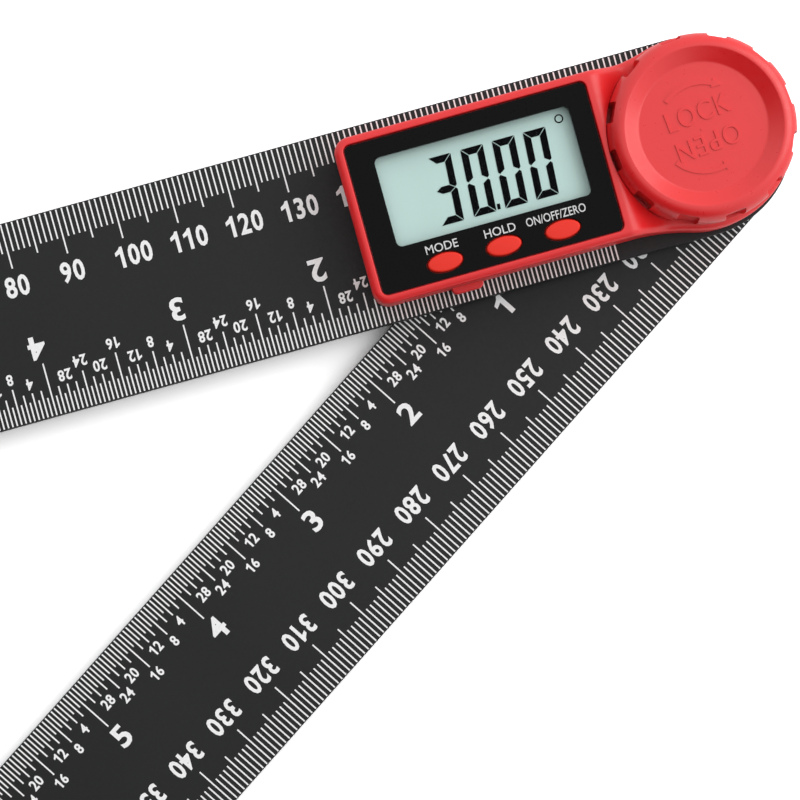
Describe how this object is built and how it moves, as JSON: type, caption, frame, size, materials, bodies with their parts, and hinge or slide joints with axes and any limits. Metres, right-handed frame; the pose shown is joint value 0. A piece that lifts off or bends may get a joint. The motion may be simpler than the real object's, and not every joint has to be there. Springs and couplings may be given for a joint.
{
  "type": "digital angle finder",
  "caption": "Two scale rulers on a common pivot with a red display housing, a round locking knob, push buttons and a slide-out battery tray.",
  "frame": {"origin": "on the pivot axis, at the flat back of the pivot stud's head, which is flush with the back of the rear arm", "axes": "+Z along the pivot axis, from the rear arm up to the knob; the front arm lies along -X, so +X runs from its free end to the pivot; +Y completes a right-handed frame"},
  "size_m": [0.2175, 0.1405, 0.0185],
  "materials": {
    "arm_black": "fine matte, near black, with white printed scales",
    "moulded_red": "moulded satin red",
    "button_red": "soft satin red",
    "panel_black": "smooth black sheet",
    "clear_lens": "clear, polished",
    "display_glass": "pale grey-green display film",
    "contact_rubber": "matte",
    "circuit_board": "green solder mask",
    "black_epoxy": "satin black resin",
    "spring_steel": "bright spring steel",
    "screw_steel": "plated steel",
    "cell_steel": "bright nickel",
    "nut_brass": "turned",
    "washer_nylon": "natural nylon"
  },
  "bodies": {
    "front": {"front_arm": "arm_black", "housing": "moulded_red", "faceplate": "panel_black", "display_lens": "clear_lens", "lcd_panel": "display_glass", "contact_strip": "contact_rubber", "main_board": "circuit_board", "chip": "black_epoxy", "switch_dome_1": "spring_steel", "switch_dome_2": "spring_steel", "switch_dome_3": "spring_steel", "battery_contact_minus": "spring_steel", "battery_contact_plus": "spring_steel", "board_link": "black_epoxy", "board_screw": "screw_steel", "encoder_stator": "circuit_board", "stator_screw_1": "screw_steel", "stator_screw_2": "screw_steel", "pivot_stud": "screw_steel", "arm_washer": "washer_nylon", "housing_screw_1": "screw_steel", "housing_screw_2": "screw_steel", "housing_screw_3": "screw_steel", "housing_screw_4": "screw_steel", "housing_screw_5": "screw_steel", "housing_screw_6": "screw_steel"},
    "rear": {"rear_arm": "arm_black", "pivot_hub": "screw_steel", "encoder_rotor": "circuit_board", "hub_screw_1": "screw_steel", "hub_screw_2": "screw_steel", "hub_screw_3": "screw_steel"},
    "knob_carrier": {"thrust_washer": "screw_steel"},
    "knob": {"lock_knob": "moulded_red", "knob_nut": "nut_brass"},
    "mode_button": {"button_mode": "button_red"},
    "hold_button": {"button_hold": "button_red"},
    "power_button": {"button_power": "button_red"},
    "tray": {"battery_tray": "moulded_red", "coin_cell": "cell_steel"}
  },
  "joints": [
    {"name": "arm_pivot", "type": "hinge", "parent": "front", "child": "rear", "pos_m": [0, 0, 0], "axis": [0, 0, 1], "continuous": true},
    {"name": "knob_lift", "type": "slide", "parent": "front", "child": "knob_carrier", "axis": [0, 0, 1], "range_m": [0, 0.000626]},
    {"name": "knob_turn", "type": "hinge", "parent": "knob_carrier", "child": "knob", "pos_m": [0, 0, 0], "axis": [0, 0, 1], "range_deg": [0, 180]},
    {"name": "mode_press", "type": "slide", "parent": "front", "child": "mode_button", "axis": [0, 0, -1], "range_m": [0, 0.0005], "stiffness_N_per_m": 1500},
    {"name": "hold_press", "type": "slide", "parent": "front", "child": "hold_button", "axis": [0, 0, -1], "range_m": [0, 0.0005], "stiffness_N_per_m": 1500},
    {"name": "power_press", "type": "slide", "parent": "front", "child": "power_button", "axis": [0, 0, -1], "range_m": [0, 0.0005], "stiffness_N_per_m": 1500},
    {"name": "tray_slide", "type": "slide", "parent": "front", "child": "tray", "axis": [0, -1, 0], "range_m": [0, 0.022]}
  ],
  "couplings": [
    {"joint": "knob_lift", "follows": "knob_turn", "m_per_rad": 0.00019894}
  ]
}
